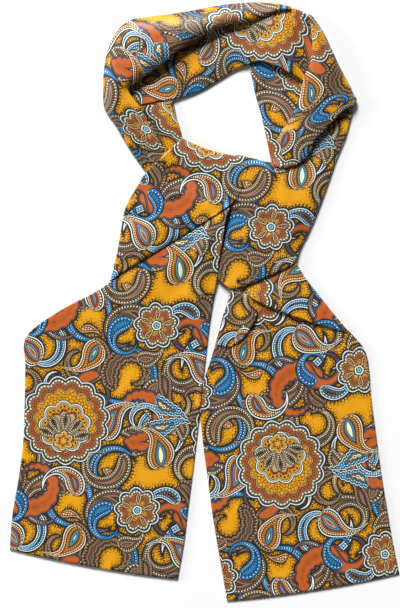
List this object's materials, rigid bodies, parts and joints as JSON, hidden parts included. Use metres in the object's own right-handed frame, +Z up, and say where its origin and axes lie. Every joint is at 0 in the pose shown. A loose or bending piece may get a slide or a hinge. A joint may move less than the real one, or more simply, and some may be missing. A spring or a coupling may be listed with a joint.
{
  "type": "neck scarf",
  "caption": "Narrow printed silk scarf laid flat in a neck loop, its ends crossed and its tails fanned out below.",
  "frame": {"origin": "centre of the laid scarf on the surface it rests on", "axes": "+X to the right as seen from above, +Y from the tails to the neck loop, +Z up from the surface"},
  "size_m": [0.544, 0.8362, 0.0159],
  "materials": {
    "printed_silk": "smooth silk twill with a gentle sheen, printed all over with a dense paisley in mustard, rust, brown and blues"
  },
  "bodies": {
    "root": {"tail_right": "printed_silk", "tail_right_tuck": "printed_silk", "flap_turned": "printed_silk", "band_left_inner": "printed_silk", "band_left_outer": "printed_silk", "tail_left": "printed_silk", "cross_right": "printed_silk", "cross_left": "printed_silk", "band_right_inner": "printed_silk", "band_back_inner": "printed_silk", "band_right_outer": "printed_silk", "band_back_outer": "printed_silk"}
  },
  "joints": []
}
